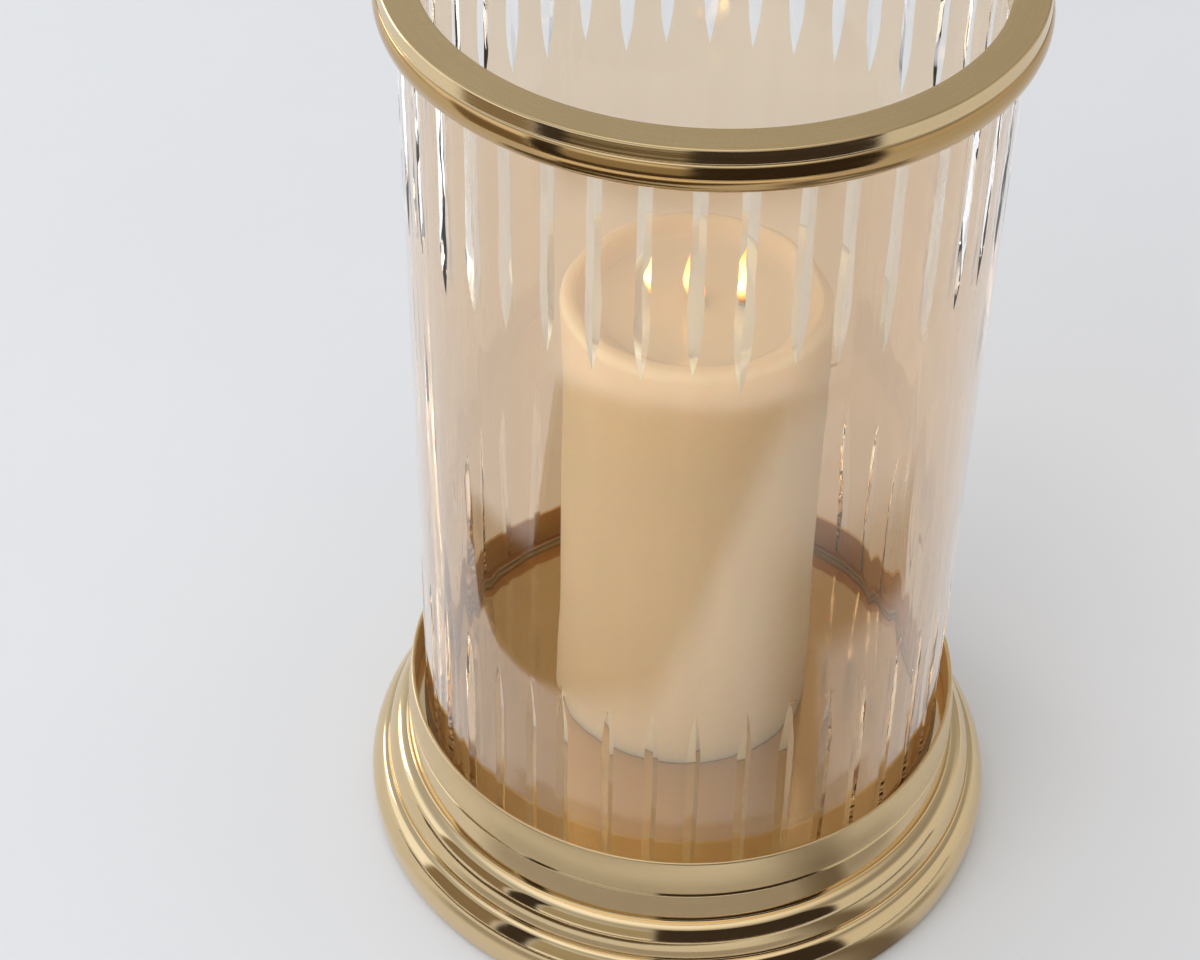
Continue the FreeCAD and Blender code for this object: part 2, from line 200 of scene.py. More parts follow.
def wax_material():
    """Ivory paraffin: light scatters inside it. A painted glow makes it warmer and brighter near the flame, in its
    colour and a faint emission; the top face is painted darker and more amber, partly melted wax and partly painted
    shade; with a shiny pool and faint cloudy mottling."""
    t = Net("candle_wax")
    pos, x, y, z, rad = t.place(CANDLE_Y * MM)
    mottle = t.noise(pos, 55.0, 4.0, 0.55)
    cloud = t.noise(pos, 17.0, 3.0, 0.5)
    col = t.mix(t.remap(cloud, 0.3, 0.7, 0.0, 1.0), (0.855, 0.845, 0.755, 1), (0.875, 0.87, 0.80, 1))
    col = t.mix(t.remap(mottle, 0.52, 0.75, 0.0, 0.25), col, (0.915, 0.905, 0.845, 1))
    # painted glow: the flame's light painted in as a warmer colour and a faint emission towards the top
    glow = t.smooth(z, 0.150, 0.190, 0.0, 1.0)
    col = t.mix(t.math("MULTIPLY", glow, 0.15), col, (0.95, 0.76, 0.47, 1))
    # top face painted darker and more amber: partly melted wax, partly painted shade
    top_melt_and_shade = t.math("MULTIPLY", t.smooth(z, 0.1850, 0.1865, 0.0, 1.0), t.smooth(rad, 0.0385, 0.0355, 0.0, 1.0))
    col = t.mix(top_melt_and_shade, col, (0.74, 0.655, 0.50, 1))
    pool = t.math("MULTIPLY", t.smooth(rad, 0.0285, 0.0310, 1.0, 0.0), t.smooth(z, 0.1855, 0.187, 0.0, 1.0))
    rough = t.math("SUBTRACT", t.remap(mottle, 0.3, 0.7, 0.38, 0.5), t.math("MULTIPLY", pool, 0.3))
    bump = t.node("Bump", None, {"Strength": 0.12, "Distance": 0.0004, "Height": mottle})
    p = t.node("BsdfPrincipled", None, {"Base Color": col, "Roughness": rough, "IOR": 1.44,
                                        "Subsurface Weight": 0.75, "Subsurface Scale": 0.012,
                                        "Subsurface Radius": (1.0, 0.55, 0.25),
                                        "Emission Color": (1.0, 0.60, 0.25, 1.0),
                                        "Emission Strength": t.math("MULTIPLY", glow, 0.03),
                                        "Normal": bump.outputs[0]})
    return t.surface(p.outputs[0])


def cotton_material():
    """Braided cotton, charred towards the top with a last orange ember."""
    t = Net("wick_cotton")
    pos, x, y, z, rad = t.place()
    fuzz = t.noise(pos, 2600.0, 3.0, 0.6)
    char = t.math("ADD", z, t.math("MULTIPLY", fuzz, 0.0022))
    col = t.mix(t.remap(fuzz, 0.3, 0.7, 0.0, 1.0), (0.62, 0.55, 0.42, 1), (0.78, 0.72, 0.58, 1))
    col = t.mix(t.smooth(char, 0.1893, 0.1923, 0.0, 1.0), col, (0.018, 0.014, 0.011, 1))
    bump = t.node("Bump", None, {"Strength": 0.5, "Distance": 0.0002, "Height": fuzz})
    p = t.node("BsdfPrincipled", None, {"Base Color": col, "Roughness": 0.92, "Normal": bump.outputs[0],
                                        "Emission Color": (1.0, 0.30, 0.04, 1.0),
                                        "Emission Strength": t.smooth(char, 0.1945, 0.1962, 0.0, 1.5)})
    return t.surface(p.outputs[0])


def flame_material():
    """Candle flame: blue-grey and faint at the wick, white-gold in the body,
    orange at the tip and the rim."""
    t = Net("candle_flame")
    pos, x, y, z, rad = t.place()
    up = t.remap(z, 0.1887, 0.2062, 0.0, 1.0)
    col = t.node("ValToRGB", None, {0: up})
    e = col.color_ramp.elements
    e[0].position, e[0].color = 0.0, (0.55, 0.16, 0.03, 1)
    e[1].position, e[1].color = 1.0, (1.0, 0.33, 0.05, 1)
    for at, c in ((0.18, (1.0, 0.40, 0.08, 1)), (0.38, (1.0, 0.66, 0.24, 1)), (0.7, (1.0, 0.58, 0.17, 1))):
        s = e.new(at)
        s.color = c
    power = t.node("ValToRGB", None, {0: up})
    g = power.color_ramp.elements
    g[0].position, g[0].color = 0.0, (0.10, 0.10, 0.10, 1)
    g[1].position, g[1].color = 1.0, (0.35, 0.35, 0.35, 1)
    for at, v in ((0.25, 0.45), (0.45, 1.0), (0.75, 0.8)):
        s = g.new(at)
        s.color = (v, v, v, 1)
    soft = t.node("LayerWeight", None, {"Blend": 0.35})
    edge = t.remap(soft.outputs["Facing"], 0.25, 0.95, 1.0, 0.05)
    glow = t.node("Emission", None, {"Color": col.outputs[0],
                                     "Strength": t.math("MULTIPLY", power.outputs[0], 4.5)})
    clear = t.node("BsdfTransparent", None, {"Color": (1, 1, 1, 1)})
    both = t.node("MixShader", None, {0: edge, 1: clear.outputs[0], 2: glow.outputs[0]})
    return t.surface(both.outputs[0])


def felt_material():
    t = Net("felt_underside")
    pos, x, y, z, rad = t.place()
    fibre = t.noise(pos, 1500.0, 5.0, 0.7, 1.2)
    clump = t.noise(pos, 160.0, 3.0, 0.5)
    col = t.mix(t.remap(fibre, 0.35, 0.65, 0.0, 1.0), (0.020, 0.019, 0.018, 1), (0.075, 0.070, 0.064, 1))
    col = t.mix(t.remap(clump, 0.4, 0.7, 0.0, 0.4), col, (0.045, 0.042, 0.040, 1))
    bump = t.node("Bump", None, {"Strength": 0.6, "Distance": 0.0003, "Height": fibre})
    p = t.node("BsdfPrincipled", None, {"Base Color": col, "Roughness": 0.95, "Sheen Weight": 0.5,
                                        "Sheen Roughness": 0.5, "Normal": bump.outputs[0]})
    return t.surface(p.outputs[0])


def steel_material(name, light, dark, rough):
    t = Net(name)
    pos, x, y, z, rad = t.place()
    scratch = t.noise(t.node("VectorMath", {"operation": "MULTIPLY"}, {0: pos, 1: (900.0, 60.0, 300.0)}).outputs[0],
                      1.0, 3.0, 0.6)
    cloud = t.noise(pos, 60.0, 4.0, 0.6)
    col = t.mix(t.remap(cloud, 0.3, 0.7, 0.0, 1.0), dark, light)
    bump = t.node("Bump", None, {"Strength": 0.1, "Distance": 0.0001, "Height": scratch})
    p = t.node("BsdfPrincipled", None, {"Base Color": col, "Metallic": 1.0,
                                        "Roughness": t.remap(scratch, 0.3, 0.7, rough - 0.07, rough + 0.1),
                                        "Normal": bump.outputs[0]})
    return t.surface(p.outputs[0])


def soft_material(name, a, b, scale, rough):
    t = Net(name)
    pos, x, y, z, rad = t.place()
    n = t.noise(pos, scale, 4.0, 0.6)
    col = t.mix(t.remap(n, 0.3, 0.7, 0.0, 1.0), a, b)
    bump = t.node("Bump", None, {"Strength": 0.2, "Distance": 0.0002, "Height": n})
    p = t.node("BsdfPrincipled", None, {"Base Color": col, "Roughness": t.remap(n, 0.3, 0.7, rough - 0.06, rough + 0.06),
                                        "Normal": bump.outputs[0]})
    return t.surface(p.outputs[0])


POLISHED = brass("brass_polished", 0.085, 0.02, 0.05, 0.02)
SATIN = brass("brass_satin", 0.33, 0.05, 0.10, 0.03, aniso=0.35)
MIRROR = brass("brass_mirror", 0.11, 0.02, 0.03, 0.02)
RIM = brass("brass_rim", 0.12, 0.03, 0.16, 0.03)
# the lower bead of the rim ring is painted darker brass: painted shade for its shadowed underside
RIM_BEAD_SHADED = brass("brass_rim_bead_painted_shade", 0.13, 0.04, 0.12, 0.03, base=(0.54, 0.355, 0.155))
RIM_TOP = brass("brass_rim_top", 0.27, 0.03, 0.035, 0.03, base=(0.70, 0.515, 0.265))
GROOVE = brass("brass_groove", 0.50, 0.05, 0.10, 0.03, base=(0.80, 0.56, 0.26), metal=0.5)
GLASS_LAND = glass("glass_tinted", tuple(v * v for v in TINT), TINT, 1.0)
GLASS_CUT = glass("glass_clear", (0.985, 0.985, 0.98), (0.985, 0.985, 0.98))
GLASS_LOW = glass("glass_tinted_cut", tuple(v ** 1.3 for v in TINT), TINT, 0.6)
GLASS_FOOT = soft_material("glass_ground_edge", (0.60, 0.47, 0.31, 1), (0.68, 0.54, 0.36, 1), 60.0, 0.6)
WAX = wax_material()
COTTON = cotton_material()
FLAME = flame_material()
FELT = felt_material()
PLATE = steel_material("plate_steel", (0.46, 0.45, 0.44, 1), (0.33, 0.325, 0.32, 1), 0.42)
ZINC = steel_material("zinc_steel", (0.66, 0.66, 0.63, 1), (0.52, 0.52, 0.50, 1), 0.34)
TAB = steel_material("tab_steel", (0.60, 0.60, 0.60, 1), (0.47, 0.47, 0.46, 1), 0.38)
CUSHION = soft_material("cushion_rubber", (0.39, 0.275, 0.145, 1), (0.47, 0.34, 0.19, 1), 700.0, 0.6)
BEDDING = soft_material("bedding", (0.56, 0.50, 0.38, 1), (0.64, 0.57, 0.45, 1), 900.0, 0.55)


# ---------------------------------------------------------------- geometry
def trace(pts, step=5.0):
    """Outline in r and z (mm). A third number makes the run to the next point an
    arc of that radius that bulges to the right of travel."""
    out = []
    n = len(pts)
    for i, p in enumerate(pts):
        out.append((p[0], p[1]))
        if len(p) < 3 or i == n - 1:
            continue
        q = pts[i + 1]
        rad = p[2]
        mx, my = (p[0] + q[0]) / 2.0, (p[1] + q[1]) / 2.0
        dx, dy = q[0] - p[0], q[1] - p[1]
        chord = math.hypot(dx, dy)
        gap = math.sqrt(max(rad * rad - chord * chord / 4.0, 0.0))
        cx, cy = mx - dy / chord * gap, my + dx / chord * gap
        t0 = math.atan2(p[1] - cy, p[0] - cx)
        t1 = math.atan2(q[1] - cy, q[0] - cx)
        if t1 < t0:
            t1 += 2 * math.pi
        k = max(2, int(math.ceil(math.degrees(t1 - t0) / step)), int(math.ceil(rad * (t1 - t0) / 0.9)))
        for j in range(1, k):
            a = t0 + (t1 - t0) * j / k
            out.append((cx + rad * math.cos(a), cy + rad * math.sin(a)))
    return np.array(out)


def ease(pts, closed, size=0.16, turn=14.0, guard=0.10):
    """Rounds each corner of an outline a little and sets a guard point either side,
    so that flats stay flat up to the rounding."""
    n = len(pts)
    out = []
    for i in range(n):
        p = pts[i]
        if not closed and i in (0, n - 1):
            out.append(p)
            continue
        a, b = pts[i - 1], pts[(i + 1) % n]
        u, v = a - p, b - p
        lu, lv = np.linalg.norm(u), np.linalg.norm(v)
        if lu < 1e-9 or lv < 1e-9:
            continue
        u, v = u / lu, v / lv
        bend = 180.0 - math.degrees(math.acos(max(-1.0, min(1.0, float(u @ v)))))
        if bend < turn:
            out.append(p)
            continue
        d = min(size, 0.36 * lu, 0.36 * lv)
        g = min(guard, 0.10 * lu, 0.10 * lv)
        out.append(p + u * (d + g))
        for t in (0.0, 0.25, 0.5, 0.75, 1.0):
            out.append((1 - t) ** 2 * (p + u * d) + 2 * t * (1 - t) * p + t * t * (p + v * d))
        out.append(p + v * (d + g))
    return np.array(out)


def add_mesh(name, verts, faces, mats, face_mat=None, sharp=None):
    me = bpy.data.meshes.new(name)
    me.from_pydata([tuple(v) for v in verts], [], faces)
    for m in mats:
        me.materials.append(m)
    me.polygons.foreach_set("use_smooth", np.ones(len(me.polygons), dtype=bool))
    if face_mat is not None:
        me.polygons.foreach_set("material_index", np.asarray(face_mat, dtype=np.int32))
    me.update()
    if sharp:
        flags = np.zeros(len(me.edges), dtype=bool)
        pairs = np.empty(len(me.edges) * 2, dtype=np.int32)
        me.edges.foreach_get("vertices", pairs)
        for k, (a, b) in enumerate(pairs.reshape(-1, 2)):
            if (min(a, b), max(a, b)) in sharp:
                flags[k] = True
        me.edges.foreach_set("use_edge_sharp", flags)
    me.validate()
    ob = bpy.data.objects.new(name, me)
    scene.collection.objects.link(ob)
    return ob


def lathe(name, outline, mats, segs=320, closed=True, pick=None, wobble=None, back=0.0):
    """Turns an outline (mm) about the axis, or about an upright line that far behind
    it. pick(r, z) gives a face's material and wobble(r, z, angle) moves a point."""
    pts = np.asarray(outline, float)
    n = len(pts)
    ang = np.linspace(0.0, 2 * math.pi, segs, endpoint=False)
    verts, rows = [], []
    for r, z in pts:
        if r < 1e-6:
            rows.append([len(verts)])
            verts.append((0.0, back * MM, z * MM))
            continue
        rr, zz = np.full(segs, r), np.full(segs, z)
        if wobble:
            rr, zz = wobble(rr, zz, ang)
        rows.append(list(range(len(verts), len(verts) + segs)))
        verts.extend(np.stack([rr * np.sin(ang) * MM, (back - rr * np.cos(ang)) * MM, zz * MM], 1).tolist())
    faces, fm = [], []
    for i in range(n if closed else n - 1):
        a, b = rows[i], rows[(i + 1) % n]
        mid = (pts[i] + pts[(i + 1) % n]) / 2.0
        m = pick(mid[0], mid[1]) if pick else 0
        for k in range(segs):
            j = (k + 1) % segs
            if len(a) == 1 and len(b) == 1:
                break
            if len(a) == 1:
                faces.append((a[0], b[j], b[k]))
            elif len(b) == 1:
                faces.append((a[k], a[j], b[0]))
            else:
                faces.append((a[k], a[j], b[j], b[k]))
            fm.append(m)
    return add_mesh(name, verts, faces, mats, fm)


def finish_piece(ob, body, slot, *nodes):
    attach(ob, body)
    if nodes:
        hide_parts(*nodes)
    return ob


# ------------------------------------------------------------- base group
BASE_OUT = trace([
    (8.2, 37.4), (83.4, 37.4), (84.1, 26.7), (87.5, 25.0), (90.0, 20.5), (90.5, 16.0),
    (93.4, 14.8), (96.2, 9.0), (95.8, 4.6), (84.0, 4.6), (84.0, 3.0), (96.0, 3.0), (96.0, 0.8),
    (96.9, 0.8, 2.2), (97.75, 2.4, 30.0), (98.28, 9.6, 13.0), (94.6, 17.4, 2.4), (92.9, 18.1),
    (92.6, 18.5, 15.0), (90.2, 26.6, 4.5), (86.6, 28.7), (86.3, 29.0), (85.5, 38.8), (84.9, 39.4),
    (8.2, 39.4)])
base = lathe("base_shell_spun", ease(BASE_OUT, True, 0.22), [POLISHED], 384)
finish_piece(base, "base", "brass_polished", "base_shell")

COLLAR = trace([(83.2, 39.4), (84.9, 39.4), (85.5, 39.95, 60.0), (84.4, 51.5, 0.66), (83.2, 51.5)])
collar = lathe("collar_ring_satin", ease(COLLAR, True, 0.16), [SATIN, GROOVE], 384,
               pick=lambda r, z: 1 if r < 83.3 else 0)
finish_piece(collar, "base", "brass_satin", "collar_ring")

PLATE_OUT = trace([(0, 38.4), (3.0, 38.4), (3.0, 30.4), (8.0, 30.4), (8.0, 39.4), (75.8, 39.4), (75.8, 40.1, 0.3),
                   (75.5, 40.4), (60.0, 40.4), (40.0, 40.4), (20.0, 40.4), (0, 40.4)])
plate = lathe("candle_plate_mirror", ease(PLATE_OUT, False, 0.10), [MIRROR], 320, closed=False)
finish_piece(plate, "base", "brass_mirror", "candle_plate")

# ------------------------------------------------------------ shade group
RING = trace([
    (74.8, 286.5), (76.2, 286.5), (76.2, 296.0), (80.3, 296.0), (80.3, 286.5), (83.2, 286.5, 3.0),
    (84.9, 288.7, 6.0), (84.7, 294.15), (84.15, 294.55), (84.6, 294.9), (84.2, 298.1), (83.8, 298.5),
    (75.2, 298.5), (74.8, 298.1)])
# faces of the lower bead take the darker brass, painted shade under the ring
ring = lathe("rim_ring_turned", ease(RING, True, 0.22), [RIM, RIM_TOP, RIM_BEAD_SHADED], 384,
             pick=lambda r, z: 1 if z > 298.35 else (2 if r > 80.6 and z < 294.3 else 0))
finish_piece(ring, "shade", "brass_rim", "rim_ring")


def smooth01(t):
    t = np.clip(t, 0.0, 1.0)
    return t * t * (3 - 2 * t)


def cut_glass():
    """Glass cylinder with two rows of hand-cut mitre flutes. Columns of the outer
    face follow the flutes' edges and valleys, so every cut has crisp arrises; both
    faces carry the slow waves and cords of hand-blown glass."""
    rng = np.random.default_rng(41)
    count = 40
    pitch = 2 * math.pi / count
    tilt_u, tilt_l = 0.195, 0.215
    upper_at = np.arange(count) * 9.0 + rng.normal(0, 0.35, count)
    lower_at = np.arange(count) * 9.0 + 4.5 + rng.normal(0, 0.35, count)
    upper_tip = 228.0 + rng.normal(0, 2.0, count)
    lower_tip = 109.0 + rng.normal(0, 0.9, count)
    for i, a, z in ((-3, -27.3, 228.2), (-2, -18.4, 226.6), (-1, -9.5, 226.6), (0, -0.3, 229.9),
                    (1, 8.2, 224.1), (2, 18.0, 231.5), (3, 26.0, 229.2)):
        upper_at[i % count], upper_tip[i % count] = a % 360.0, z
    for i, a, z in ((-3, -24.1, 108.6), (-2, -14.1, 107.8), (-1, -5.1, 108.9), (0, 3.4, 109.5),
                    (1, 13.7, 109.9), (2, 22.6, 110.0), (3, 31.6, 108.8)):
        lower_at[i % count], lower_tip[i % count] = a % 360.0, z
    size_u = 1.0 + rng.normal(0, 0.07, count)
    size_l = 1.0 + rng.normal(0, 0.07, count)
    ph = rng.uniform(0, 2 * math.pi, (count, 12))
    lean = rng.normal(0, 0.10, count)

    # parameter t: 0 foot, 1 lower tip, 2 upper tip, 3 top
    t_rows = np.concatenate([np.linspace(0, 0.04, 3), np.linspace(0.06, 0.74, 24), np.linspace(0.77, 0.97, 9),
                             [0.985, 1.0, 1.01], np.linspace(1.04, 1.96, 22), [1.99, 2.0, 2.012],
                             np.linspace(2.03, 2.24, 10), np.linspace(2.27, 2.93, 24), [2.95, 2.97, 3.0]])
    foot, root_l, root_u, top = 41.7, 44.0, 291.0, 293.8
    cols = []
    flute = [-1.0, -0.66, -0.33, 0.0, 0.33, 0.66, 1.0]
    lands = 5
    per = len(flute) + lands
    rows_n = len(t_rows)
    th = np.zeros((rows_n, count * per))
    zz = np.zeros_like(th)
    dep = np.zeros_like(th)

    def outline(i, t):
        """Half width left and right (mm), valley offset, depth factor, centre (deg), z."""
        if t <= 1.0:
            z = foot + (lower_tip[i] - foot) * t
        elif t <= 2.0:
            z = lower_tip[i] + (upper_tip[i] - lower_tip[i]) * (t - 1.0)
        else:
            z = upper_tip[i] + (top - upper_tip[i]) * (t - 2.0)
        mid = smooth01((t - 1.08) / 0.84)
        lo, up = lower_at[i], upper_at[i]
        if lo - up > 180:
            lo -= 360
        if up - lo > 180:
            lo += 360
        at = lo + (up - lo) * mid
        wave = lambda k, wl: math.sin(2 * math.pi * z / wl + ph[i, k])
        if t <= 1.0:
            s = (1.0 - t)
            w = np.interp(s, [0, 0.03, 0.09, 0.17, 0.26, 1.0], [0.05, 0.45, 1.05, 1.55, 1.95, 1.75]) * size_l[i]
            run = min(1.0, (z - root_l) / 2.0) if z > root_l else 0.0
            jl = 0.07 * wave(0, 13.0) + 0.05 * wave(1, 7.3) + 0.05 * wave(2, 29.0)
            jr = 0.07 * wave(3, 11.0) + 0.05 * wave(4, 8.1) + 0.05 * wave(5, 33.0)
            f = min(1.0, s / 0.08)
        elif t >= 2.0:
            s = (t - 2.0)
            w = np.interp(s, [0, 0.025, 0.08, 0.15, 0.24, 0.34, 0.52, 0.72, 1.0],
                          [0.05, 0.42, 1.12, 1.78, 2.20, 2.16, 1.90, 1.84, 2.08]) * size_u[i]
            run = min(1.0, (root_u + 1.5 - z) / 2.5) if z < root_u + 1.5 else 0.0
            jl = 0.05 * wave(6, 17.0) + 0.035 * wave(7, 8.6) + 0.07 * wave(8, 37.0)
            jr = 0.05 * wave(9, 15.0) + 0.035 * wave(10, 9.4) + 0.07 * wave(11, 31.0)
            f = min(1.0, s / 0.10)
        else:
            m = min(t - 1.0, 2.0 - t)
            w, run, jl, jr, f = 0.05 + 2.6 * smooth01(m / 0.12), 0.0, 0.0, 0.0, 0.0
        v = (lean[i] + 0.10 * wave(2, 41.0) + 0.05 * wave(7, 15.0)) * f
        if t <= 1.0:
            v = 0.30 * f + 0.6 * v
        return max(w + jl * f, 0.04), max(w + jr * f, 0.04), v, run, at, z

    def wander(a, z):
        """Slow waves of the blown wall and a few stronger cords, in mm."""
        q = 0.024 * np.sin(9 * a + 0.035 * z + 0.4) + 0.012 * np.sin(17 * a - 0.05 * z + 1.9)
        q += 0.006 * np.sin(31 * a + 0.09 * z + 2.2) * (0.6 + 0.4 * np.sin(0.031 * z + 3 * a))
        q += 0.024 * np.sin(0.075 * z + 4 * a + 0.7) + 0.007 * np.sin(0.16 * z - 7 * a)
        return q

    def cords(a, z):
        q = 0.0 * a
        for at, wide, deep, sway, wl, p in ((-66, 1.5, 0.16, 1.6, 150, 0.3), (-60, 2.1, -0.22, 1.2, 120, 1.2),
                                            (-52, 1.6, -0.20, 1.5, 170, 2.3), (-44, 1.9, -0.15, 1.0, 110, 4.0),
                                            (-71, 1.7, 0.14, 1.0, 190, 5.1), (58, 1.7, 0.10, 1.2, 140, 0.9),
                                            (47, 1.4, -0.08, 1.4, 160, 3.2), (66, 2.0, 0.12, 1.1, 120, 2.0),
                                            (140, 1.8, 0.10, 1.3, 150, 1.0), (-150, 1.9, 0.10, 1.3, 130, 2.6),
                                            (100, 1.6, 0.10, 1.4, 170, 0.2), (-110, 1.7, 0.11, 1.2, 160, 3.9),
                                            (172, 1.7, -0.08, 1.4, 140, 1.7)):
            c = np.radians(at) + sway / 80.0 * (np.sin(2 * np.pi * z / wl + p) + 0.4 * np.sin(2 * np.pi * z / (wl * 0.37) + 2 * p))
            d = (a - c + np.pi) % (2 * np.pi) - np.pi
            fade = 0.55 + 0.45 * np.sin(2 * np.pi * z / (wl * 1.7) + 3 * p)
            q = q + deep * fade * np.exp(-(d * 80.0 / wide) ** 2)
        return q

    for ri, t in enumerate(t_rows):
        spec = [outline(i, t) for i in range(count)]
        for i in range(count):
            wl, wr, v, run, at, z = spec[i]
            c0 = math.radians(at)
            base_i = i * per
            for k, s in enumerate(flute):
                if s < 0:
                    x = -wl + (wl + v * wl) * (1 + s)
                    d = 1 + s
                elif s > 0:
                    x = v * wr + (wr - v * wr) * s
                    d = 1 - s
                else:
                    x, d = v * (wl + wr) / 2, 1.0
                if s < 0:
                    x = -wl * (-s) + v * (wl + wr) / 2 * (1 + s)
                if s > 0:
                    x = wr * s + v * (wl + wr) / 2 * (1 - s)
                th[ri, base_i + k] = c0 + x / 80.0
                zz[ri, base_i + k] = z
                tilt = tilt_l if t <= 1.0 else tilt_u
                dep[ri, base_i + k] = d * run * min(tilt * (wl + wr) / 2, 1.0) if run > 0 else 0.0
        for i in range(count):
            base_i = i * per
            j = (i + 1) % count
            a0 = th[ri, base_i + len(flute) - 1]
            a1 = th[ri, j * per]
            while a1 < a0:
                a1 += 2 * math.pi
            while a1 - a0 > math.pi:
                a1 -= 2 * math.pi
            z0, z1 = zz[ri, base_i], zz[ri, j * per]
            for k in range(lands):
                f = (k + 1) / (lands + 1)
                th[ri, base_i + len(flute) + k] = a0 + (a1 - a0) * f
                zz[ri, base_i + len(flute) + k] = z0 + (z1 - z0) * smooth01(f)
    r_out = 79.85 + np.clip(wander(th, zz) + cords(th, zz), -0.4, 0.15) - dep
    total = count * per
    # the easing at both ends keeps the measured wall
    verts = []
    ring_rows = []

    def push(r, a, z):
        ids = list(range(len(verts), len(verts) + total))
        verts.extend(np.stack([r * np.sin(a) * MM, -r * np.cos(a) * MM, z * MM], 1).tolist())
        ring_rows.append(ids)

    a_foot, a_top = th[0], th[-1]
    edge = np.linspace(0, math.pi / 2, 4)
    for e in edge[:-1]:
        push(np.full(total, 79.2 + 0.62 * math.sin(e)), a_foot, np.full(total, 41.7 - 0.8 * math.cos(e)))
    n_edge = len(ring_rows)
    for ri in range(rows_n):
        push(r_out[ri], th[ri], zz[ri])
    first_out, last_out = n_edge, len(ring_rows) - 1
    for e in edge[1:]:
        push(np.full(total, 79.2 + 0.62 * math.cos(e)), a_top, np.full(total, 293.8 + 0.8 * math.sin(e)))
    inner_z = np.linspace(293.8, 41.7, 56)
    for e in edge[:-1]:
        push(np.full(total, 77.3 - 0.8 * math.sin(e)), a_top, np.full(total, 293.8 + 0.8 * math.cos(e)))
    for k, z in enumerate(inner_z):
        f = k / (len(inner_z) - 1)
        # columns drift back to the foot's angles on the way down
        gap = (a_foot - a_top + math.pi) % (2 * math.pi) - math.pi
        a = a_top + gap * smooth01((f - 0.1) / 0.8)
        zrow = np.full(total, z)
        r = 76.62 + 0.8 * wander(a * 1.0 + 0.9, zrow * 0.9 + 31.0) + 0.5 * cords(a + 0.11, zrow + 17.0)
        push(np.maximum(r, 76.45), a, zrow)
    for e in edge[1:]:
        push(np.full(total, 77.3 - 0.8 * math.cos(e)), a_foot, np.full(total, 41.7 - 0.8 * math.sin(e)))

    faces, fm, sharp = [], [], set()
    nr = len(ring_rows)
    in_flute = np.zeros(total, dtype=bool)
    for i in range(count):
        in_flute[i * per:i * per + len(flute) - 1] = True
    for i in range(nr):
        a, b = ring_rows[i], ring_rows[(i + 1) % nr]
        outer = first_out <= i < last_out
        ground = i < n_edge or i >= nr - len(edge)
        if outer:
            t = t_rows[i - first_out]
            t2 = t_rows[i - first_out + 1]
            lower_cut = t2 <= 1.0 + 1e-9 and t > 0.03
            upper_cut = t >= 2.0 - 1e-9 and t2 < 2.985
            cutting = lower_cut or upper_cut
        for k in range(total):
            j = (k + 1) % total
            faces.append((a[k], a[j], b[j], b[k]))
            if outer:
                fm.append((2 if lower_cut else 1) if (cutting and in_flute[k]) else 0)
            else:
                fm.append(3 if ground else 1)
        if outer and cutting:
            for s in range(count):
                for k in (0, 3, len(flute) - 1):
                    c = s * per + k
                    sharp.add((min(a[c], b[c]), max(a[c], b[c])))
    return add_mesh("glass_shade_cut", verts, faces, [GLASS_LAND, GLASS_CUT, GLASS_LOW, GLASS_FOOT], fm, sharp)


shade = cut_glass()
finish_piece(shade, "shade", "tinted_glass", "glass_shade")

# ----------------------------------------------------------- candle group
WAX_OUT = trace([
    (1.25, 47.4), (2.6, 47.4), (2.6, 41.2), (10.0, 41.2), (10.0, 40.4), (38.3, 40.4, 0.5), (38.8, 40.9),
    (38.8, 46.0), (38.8, 70.0), (38.8, 95.0), (38.8, 120.0), (38.8, 140.0), (38.8, 156.0), (38.8, 168.0), (38.8, 178.0),
    (38.8, 185.0), (38.8, 189.2, 3.6), (35.2, 193.0), (34.0, 192.6), (32.6, 191.3), (31.2, 189.7), (29.8, 188.6),
    (28.0, 187.9), (26.0, 187.65), (23.0, 187.6), (18.0, 187.6), (10.0, 187.6), (4.0, 187.75), (2.0, 188.2), (1.25, 188.4)])


def soften_wax(r, z, a):
    """Poured wax is never quite round: a slow swell, and a rim that dips and rises."""
    body = smooth01((z - 43.0) / 20.0)
    out = 0.16 * np.sin(3 * a + 0.02 * z + 0.6) + 0.10 * np.sin(5 * a - 0.035 * z + 2.0) + 0.06 * np.sin(11 * a + 0.05 * z)
    out = (out - 0.33) * body * smooth01((r - 30.0) / 7.0)
    rim = smooth01((z - 186.0) / 7.0) * smooth01((r - 30.0) / 4.0)
    dip = (0.45 * np.sin(2 * a + 0.9) + 0.25 * np.sin(5 * a + 2.2) + 0.12 * np.sin(9 * a) - 0.6) * rim
    return r + out, z + dip


candle = lathe("candle_wax", ease(WAX_OUT, True, 0.25, 20.0), [WAX], 256, wobble=soften_wax, back=CANDLE_Y)
finish_piece(candle, "candle", "wax", "candle_body")


